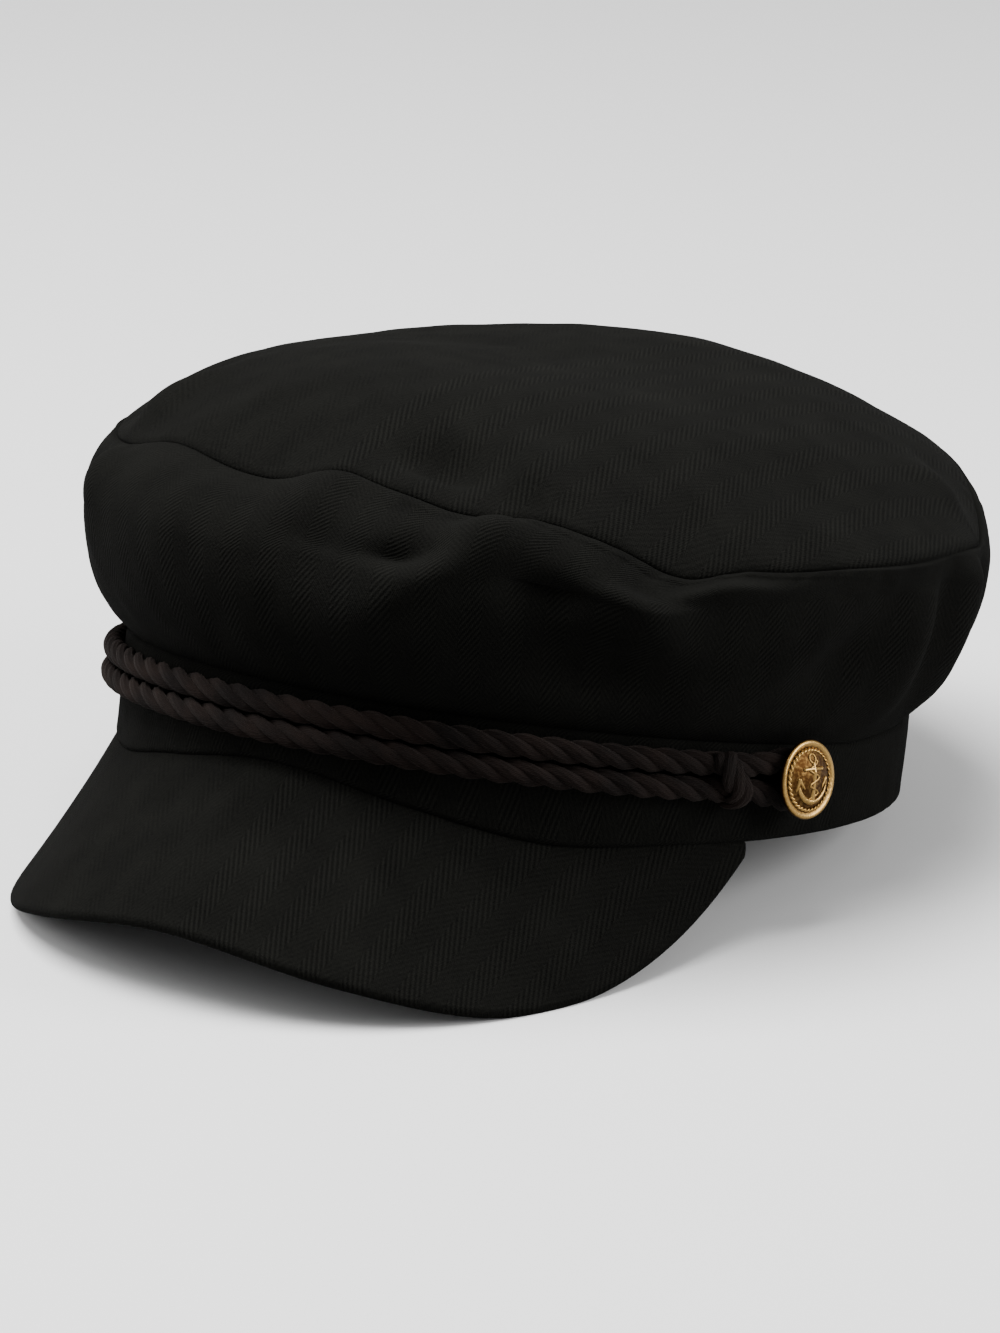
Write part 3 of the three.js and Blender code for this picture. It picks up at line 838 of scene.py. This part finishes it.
def knot(name, side, yarn):
    distance = LEFT_KNOT_DISTANCE if side > 0 else RIGHT_KNOT_DISTANCE
    arc = radians(1) * (BAND_WIDTH + BAND_LENGTH) / 4
    angle = button_angle(side) - side * distance / arc
    normal = band_normal(angle)
    along = np.array((-normal[1], normal[0], 0))
    reach_out = CORD_THICKNESS + GAP + KNOT_THICKNESS / 3
    reach_up = RUN_SPACING + CORD_WIDTH / 2
    middle = band_point(angle, pair_height(angle))
    share = np.linspace(0, len(KNOT_WAY) - 1, KNOT_POINTS)
    out, up, back = (smooth_curve(list(enumerate(column)), share) for column in zip(*KNOT_WAY))
    route = (
        middle
        + normal * (out * reach_out)[:, None]
        - along * (side * back * KNOT_SLANT / 2)[:, None]
        + np.array((0, 0, 1)) * (up * reach_up)[:, None]
    )
    tangent = unit(np.gradient(route, axis=0))
    face = unit(np.cross(along, tangent))
    bm = rope(
        route,
        face,
        KNOT_WIDTH,
        KNOT_THICKNESS,
        KNOT_LAY,
        ring=False,
        steps_per_lay=30,
        start=KNOT_TWIST,
    )
    return piece("knot_rope_" + name, bm, yarn, "cord", "knot_" + name)


# Buttons

BUTTON_BACK = CORD_THICKNESS + 2 * GAP + BUTTON_DIAMETER / 2 * sin(radians(BUTTON_TILT))
BUTTON_EDGE = BUTTON_BACK + BUTTON_THICKNESS
FIELD_RADIUS = BUTTON_DIAMETER / 2 - BUTTON_RIM


def dome_height(radius):
    share = radius / FIELD_RADIUS
    base = BUTTON_EDGE - BUTTON_DOME * cos(FIELD_EDGE * DOME_ARC)
    return base + BUTTON_DOME * cos(min(share, 1) * DOME_ARC)


def button_body(bm):
    """The domed disc with its rim and post, turned about the post."""
    radius = BUTTON_DIAMETER / 2
    field = FIELD_RADIUS * FIELD_EDGE
    profile = [(0, GAP), (POST_DIAMETER / 2, GAP), (POST_DIAMETER / 2, BUTTON_BACK)]
    profile += [(radius - inset, BUTTON_BACK + rise) for inset, rise in RIM_BACK]
    profile += [(radius - inset, BUTTON_EDGE + rise) for inset, rise in RIM_FRONT]
    profile.append((field, BUTTON_EDGE - BUTTON_STEP))
    steps = 22
    for i in range(1, steps + 1):
        reach = field * (1 - i / steps)
        profile.append((reach, dome_height(reach)))
    verts = [bm.verts.new((reach, 0, height)) for reach, height in profile]
    edges = [bm.edges.new(pair) for pair in zip(verts, verts[1:])]
    bmesh.ops.spin(
        bm,
        geom=verts + edges,
        cent=(0, 0, 0),
        axis=(0, 0, 1),
        angle=2 * pi,
        steps=96,
        use_merge=True,
    )
    bmesh.ops.remove_doubles(bm, verts=bm.verts, dist=1e-6)


def raised_rod(bm, way, thickness):
    """A round rod of the relief along a flat way, tapered by its thickness at each point."""
    for (start, end), (first, last) in zip(zip(way, way[1:]), zip(thickness, thickness[1:])):
        run = Vector((*end, 0)) - Vector((*start, 0))
        turn = run.to_track_quat("Z", "Y").to_matrix().to_4x4()
        middle = (Vector((*start, 0)) + Vector((*end, 0))) / 2
        bmesh.ops.create_cone(
            bm,
            segments=12,
            radius1=first / 2,
            radius2=last / 2,
            depth=run.length,
            matrix=Matrix.Translation(middle) @ turn,
        )
    for at, wide in zip(way, thickness):
        bmesh.ops.create_uvsphere(
            bm,
            u_segments=12,
            v_segments=8,
            radius=wide / 2,
            matrix=Matrix.Translation((*at, 0)),
        )


def anchor(bm):
    """An anchor with a rope round it, in units of a tenth of its height, laid over the dome."""
    relief = bmesh.new()
    raised_rod(relief, [(0, 3.2), (0, 1.6), (0, -4.2)], [0.8, 0.9, 1.3])
    raised_rod(relief, [(-2.4, 2.1), (0, 2.2), (2.4, 2.1)], [0.75, 0.8, 0.75])
    ring = [(0.85 * sin(radians(a)), 4.1 + 0.85 * cos(radians(a))) for a in range(0, 361, 30)]
    raised_rod(relief, ring, [0.45] * len(ring))
    for side in (-1, 1):
        arm = [(side * 4 * sin(radians(a)), 0.1 - 4.3 * cos(radians(a))) for a in range(0, 71, 14)]
        raised_rod(relief, arm, [1.2, 1.1, 1, 0.9, 0.8, 0.6])
        fluke = [(side * 2.5, -1.5), (side * 3.7, 0.2), (side * 4.2, -1.9)]
        raised_rod(relief, fluke, [0.35, 0.8, 0.35])
    fouling = [(1.25 * sin(a * 0.9 + 0.6), 3.9 - 0.42 * a) for a in range(0, 19)]
    raised_rod(relief, fouling, [0.5] * len(fouling))
    for vert in relief.verts:
        flat = vert.co.xy * ANCHOR_UNIT
        rise = vert.co.z * ANCHOR_UNIT
        vert.co = (flat.x, flat.y, dome_height(flat.length) + rise)
    join_into(bm, relief)


def rope_border(bm):
    """A twisted border between the field and the rim."""
    for number in range(2):
        thread = bmesh.new()
        bmesh.ops.create_circle(thread, segments=8, radius=BORDER_THREAD)
        bmesh.ops.rotate(thread, verts=thread.verts, matrix=Matrix.Rotation(pi / 2, 3, "X"))
        bmesh.ops.translate(thread, verts=thread.verts, vec=(FIELD_RADIUS * BORDER_PLACE, 0, 0))
        bmesh.ops.spin(
            thread,
            geom=list(thread.edges),
            cent=(0, 0, 0),
            axis=(0, 0, 1),
            angle=2 * pi,
            steps=BORDER_TURNS * 6,
            use_merge=True,
        )
        bmesh.ops.remove_doubles(thread, verts=thread.verts, dist=1e-7)
        for vert in thread.verts:
            turn = np.arctan2(vert.co.y, vert.co.x)
            phase = turn * BORDER_TURNS / 2 + number * pi
            outwards = Vector((cos(turn), sin(turn), 0))
            vert.co += outwards * (BORDER_TWIST * cos(phase))
            vert.co.z += BORDER_TWIST * sin(phase)
            vert.co.z += dome_height(vert.co.xy.length)
        join_into(bm, thread)


def button(name, side, brass):
    bm = bmesh.new()
    button_body(bm)
    anchor(bm)
    rope_border(bm)
    bmesh.ops.recalc_face_normals(bm, faces=bm.faces)
    raised = bm.verts.layers.float.new("raised")
    for vert in bm.verts:
        vert[raised] = (vert.co.z - dome_height(vert.co.xy.length)) / RELIEF
    angle = button_angle(side)
    normal = Vector(band_normal(angle))
    across = Vector((-normal.y, normal.x, 0))
    place = Matrix((across, (0, 0, 1), normal)).transposed().to_4x4()
    place = place @ Matrix.Rotation(-radians(BUTTON_TILT), 4, "X")
    place.translation = Vector(band_point(angle, pair_height(angle)))
    bm.transform(REST @ place)
    return piece("button_brass_" + name, bm, brass, "brass", "button_" + name)


# Materials

def connect(tree, made, inputs):
    """Links the sockets given to a node's inputs, and sets its other inputs to the values given."""
    for place, value in inputs.items():
        if isinstance(value, bpy.types.NodeSocket):
            tree.links.new(value, made.inputs[place])
        else:
            made.inputs[place].default_value = value


def node(tree, kind, inputs=None, **settings):
    """A shader node with its settings made and its inputs set or linked."""
    made = tree.nodes.new("ShaderNode" + kind)
    for name, value in settings.items():
        setattr(made, name, value)
    connect(tree, made, inputs or {})
    return made


def calc(tree, operation, *values):
    return node(tree, "Math", dict(enumerate(values)), operation=operation).outputs[0]


def weighted_sum(tree, start, *parts):
    """A start value, with each further value added to it times its weight."""
    total = start
    for value, weight in parts:
        total = calc(tree, "MULTIPLY_ADD", value, weight, total)
    return total


def ramp(tree, shade, low, dark, high, light):
    """A colour that goes from dark to light while the shade goes from low to high."""
    made = node(tree, "ValToRGB", {"Fac": shade})
    for stop, place, colour in zip(made.color_ramp.elements, (low, high), (dark, light)):
        stop.position = place
        stop.color = colour
    return made.outputs[0]


def bump(tree, height, strength, distance):
    made = node(tree, "Bump", {"Height": height, "Strength": strength, "Distance": distance})
    return made.outputs[0]


def group(name, inputs, outputs):
    """An empty node group with its inputs and outputs."""
    tree = bpy.data.node_groups.new(name, "ShaderNodeTree")
    for title, kind, default in inputs:
        socket = tree.interface.new_socket(title, in_out="INPUT", socket_type="NodeSocket" + kind)
        if default is not None:
            socket.default_value = default
    for title, kind in outputs:
        tree.interface.new_socket(title, in_out="OUTPUT", socket_type="NodeSocket" + kind)
    return tree, tree.nodes.new("NodeGroupInput").outputs, tree.nodes.new("NodeGroupOutput").inputs


def use_group(tree, made, inputs):
    return node(tree, "Group", inputs, node_tree=made).outputs


def herringbone_group():
    """Slanted twill lines that change their lean from one column of the cloth to the next."""
    tree, given, result = group(
        "herringbone",
        [
            ("Place", "Vector", None),
            ("Column", "Float", WEAVE_COLUMN),
            ("Pitch", "Float", WEAVE_PITCH),
        ],
        [("Height", "Float"), ("Painted Column Sheen", "Float")],
    )
    slant = radians(WEAVE_SLANT)
    place = node(tree, "SeparateXYZ", {0: given["Place"]}).outputs
    folded = calc(tree, "PINGPONG", place[0], given["Column"])
    column = calc(tree, "FLOOR", calc(tree, "DIVIDE", place[0], given["Column"]))
    odd = calc(tree, "MODULO", column, 2.0)
    across = weighted_sum(tree, 0.0, (folded, cos(slant)), (place[1], -sin(slant)))
    along = weighted_sum(tree, 0.0, (folded, sin(slant)), (place[1], cos(slant)))
    phase = weighted_sum(tree, calc(tree, "DIVIDE", across, given["Pitch"]), (odd, 0.5))
    float_phase = calc(tree, "ADD", calc(tree, "DIVIDE", along, given["Pitch"]), phase)
    wave = calc(tree, "SINE", calc(tree, "MULTIPLY", phase, 2 * pi))
    floats = calc(tree, "SINE", calc(tree, "MULTIPLY", float_phase, 4 * pi))
    wave_height = weighted_sum(tree, EVEN_LINES, (odd, ODD_LINES_MORE))
    height = weighted_sum(tree, 0.5, (wave, wave_height), (floats, FLOAT_LINES))
    tree.links.new(height, result["Height"])
    # The second output is painted sheen: the column's odd or even number, which lightens every second
    # column of the colour as if that lean of the twill caught the light.
    tree.links.new(odd, result["Painted Column Sheen"])
    return tree


def fuzz_group():
    """Fine loose fibres: a soft mottle of the colour, and a fine uneven height."""
    tree, given, result = group(
        "fuzz",
        [("Place", "Vector", None), ("Size", "Float", 0.0006)],
        [("Mottle", "Float"), ("Height", "Float")],
    )
    per_size = calc(tree, "DIVIDE", 1.0, given["Size"])
    scaled = node(
        tree, "VectorMath", {0: given["Place"], "Scale": per_size}, operation="SCALE"
    ).outputs[0]
    fine = node(tree, "TexNoise", {"Vector": scaled, "Scale": 1.0, "Detail": 3.0})
    broad = node(tree, "TexNoise", {"Vector": scaled, "Scale": 0.04, "Detail": 4.0})
    tree.links.new(broad.outputs["Fac"], result["Mottle"])
    tree.links.new(fine.outputs["Fac"], result["Height"])
    return tree


def material(name):
    made = bpy.data.materials.new(name)
    made.use_nodes = True
    return made, made.node_tree, made.node_tree.nodes["Principled BSDF"]


def wool_material(herringbone, fuzz):
    made, tree, shader = material("black herringbone wool")
    cloth = node(tree, "UVMap", uv_map="cloth").outputs[0]
    place = node(tree, "TexCoord").outputs["Object"]
    fibres = use_group(tree, fuzz, {"Place": place, "Size": 0.0005})
    weave = use_group(
        tree, herringbone, {"Place": cloth, "Column": WEAVE_COLUMN, "Pitch": WEAVE_PITCH}
    )
    height = weighted_sum(tree, 0.0, (weave["Height"], 0.7), (fibres["Height"], 1.3))
    # The shade sets the wool's colour. The weave's lines, the random mottle and the fibres are the
    # cloth's own tone; the column term is painted sheen that lightens every second column, as if that
    # lean of the twill caught the light.
    shade = weighted_sum(
        tree,
        -0.125,
        (weave["Height"], 0.5),
        (weave["Painted Column Sheen"], 0.02),
        (fibres["Mottle"], 0.35),
        (fibres["Height"], 0.5),
    )
    dark = (0.0014, 0.0014, 0.0012, 1)
    light = (0.0102, 0.0102, 0.0087, 1)
    connect(
        tree,
        shader,
        {
            "Base Color": ramp(tree, shade, 0.25, dark, 1.0, light),
            "Normal": bump(tree, height, strength=0.9, distance=0.00024),
            "Roughness": 0.95,
            "Specular IOR Level": 0.05,
            "Sheen Weight": 0.005,
            "Sheen Roughness": 0.45,
            "Sheen Tint": (0.9, 0.9, 0.88, 1),
        },
    )
    return made


def yarn_material(fuzz):
    made, tree, shader = material("dark brown cord yarn")
    cloth = node(tree, "UVMap", uv_map="cloth").outputs[0]
    place = node(tree, "TexCoord").outputs["Object"]
    fibres = use_group(tree, fuzz, {"Place": place, "Size": 0.0004})
    strand = node(tree, "SeparateXYZ", {0: cloth}).outputs
    phase = weighted_sum(
        tree, 0.0, (strand[1], LINES_ROUND), (strand[0], LINES_ALONG), (fibres["Height"], LINES_BEND)
    )
    lines = calc(tree, "SINE", phase)
    shade = weighted_sum(tree, fibres["Mottle"], (lines, 0.12))
    height = weighted_sum(tree, fibres["Height"], (lines, 0.3))
    dark = (0.0024, 0.0014, 0.0012, 1)
    light = (0.0128, 0.0073, 0.0056, 1)
    connect(
        tree,
        shader,
        {
            "Base Color": ramp(tree, shade, 0.3, dark, 0.75, light),
            "Normal": bump(tree, height, strength=0.8, distance=0.0002),
            "Roughness": 0.8,
            "Specular IOR Level": 0.12,
            "Sheen Weight": 0.04,
            "Sheen Roughness": 0.4,
            "Sheen Tint": (1, 0.85, 0.78, 1),
        },
    )
    return made


def brass_material(fuzz):
    made, tree, shader = material("antique brass")
    place = node(tree, "TexCoord").outputs["Object"]
    spots = use_group(tree, fuzz, {"Place": place, "Size": 0.0008})
    raised = node(tree, "Attribute", attribute_name="raised").outputs["Fac"]
    worn = weighted_sum(tree, 0.0, (raised, 0.8), (spots["Height"], 0.5))
    polish = {"Value": worn, "From Min": 0.2, "From Max": 0.9, "To Min": 0.5, "To Max": 0.25}
    dark = (0.07, 0.030, 0.008, 1)
    light = (0.62, 0.38, 0.12, 1)
    connect(
        tree,
        shader,
        {
            "Base Color": ramp(tree, worn, 0.22, dark, 0.75, light),
            "Normal": bump(tree, spots["Height"], strength=0.4, distance=0.0002),
            "Roughness": node(tree, "MapRange", polish).outputs[0],
            "Metallic": 1.0,
        },
    )
    return made


def floor_material():
    """Pale to the camera, and darker to the light that it sends back up at the cap."""
    made, tree, shader = material("pale floor")
    seen = node(tree, "LightPath").outputs["Is Camera Ray"]
    darker = (0.3, 0.3, 0.3, 1)
    pale = (0.95, 0.95, 0.95, 1)
    colour = node(tree, "Mix", {0: seen, 6: darker, 7: pale}, data_type="RGBA").outputs[2]
    connect(tree, shader, {"Base Color": colour, "Roughness": 0.9, "Specular IOR Level": 0.0})
    return made


# Studio

def camera():
    data = bpy.data.cameras.new("camera")
    made = bpy.data.objects.new("camera", data)
    bpy.context.scene.collection.objects.link(made)
    bpy.context.scene.camera = made
    data.lens = VIEW_FOCAL_PIXELS * data.sensor_width / PICTURE_HEIGHT
    turn = (
        Matrix.Rotation(radians(VIEW_AZIMUTH), 4, "Z")
        @ Matrix.Rotation(radians(90 - VIEW_ELEVATION), 4, "X")
        @ Matrix.Rotation(radians(VIEW_ROLL), 4, "Z")
    )
    place = Matrix.Translation(VIEW_TARGET) @ turn @ Matrix.Translation((0, 0, VIEW_DISTANCE))
    made.matrix_world = REST @ place


def lamp(name, place, size, power):
    data = bpy.data.lights.new(name, "AREA")
    data.size = size
    data.energy = power
    made = bpy.data.objects.new(name, data)
    made.location = place
    towards_cap = Vector(LIT_POINT) - Vector(place)
    made.rotation_euler = towards_cap.to_track_quat("-Z", "Y").to_euler()
    bpy.context.scene.collection.objects.link(made)


def studio():
    bm = bmesh.new()
    bmesh.ops.create_grid(bm, x_segments=1, y_segments=1, size=FLOOR_HALF_WIDTH)
    mesh = bpy.data.meshes.new("floor")
    bm.to_mesh(mesh)
    bm.free()
    mesh.materials.append(floor_material())
    floor = bpy.data.objects.new("floor", mesh)
    bpy.context.scene.collection.objects.link(floor)
    for name, place, size, power in LAMPS:
        lamp(name, place, size, power)
    world = bpy.data.worlds.new("studio")
    world.use_nodes = True
    tree = world.node_tree
    connect(tree, tree.nodes["Background"], {"Color": (1, 1, 1, 1), "Strength": SKY_STRENGTH})
    bpy.context.scene.world = world


camera()
studio()

herringbone = herringbone_group()
fuzz = fuzz_group()
wool = wool_material(herringbone, fuzz)
yarn = yarn_material(fuzz)
brass = brass_material(fuzz)

crown_side(wool)
crown_top(wool)
headband(wool)
visor(wool)
cord_loop(yarn)
for side, name in ((1, "left"), (-1, "right")):
    knot(name, side, yarn)
    button(name, side, brass)
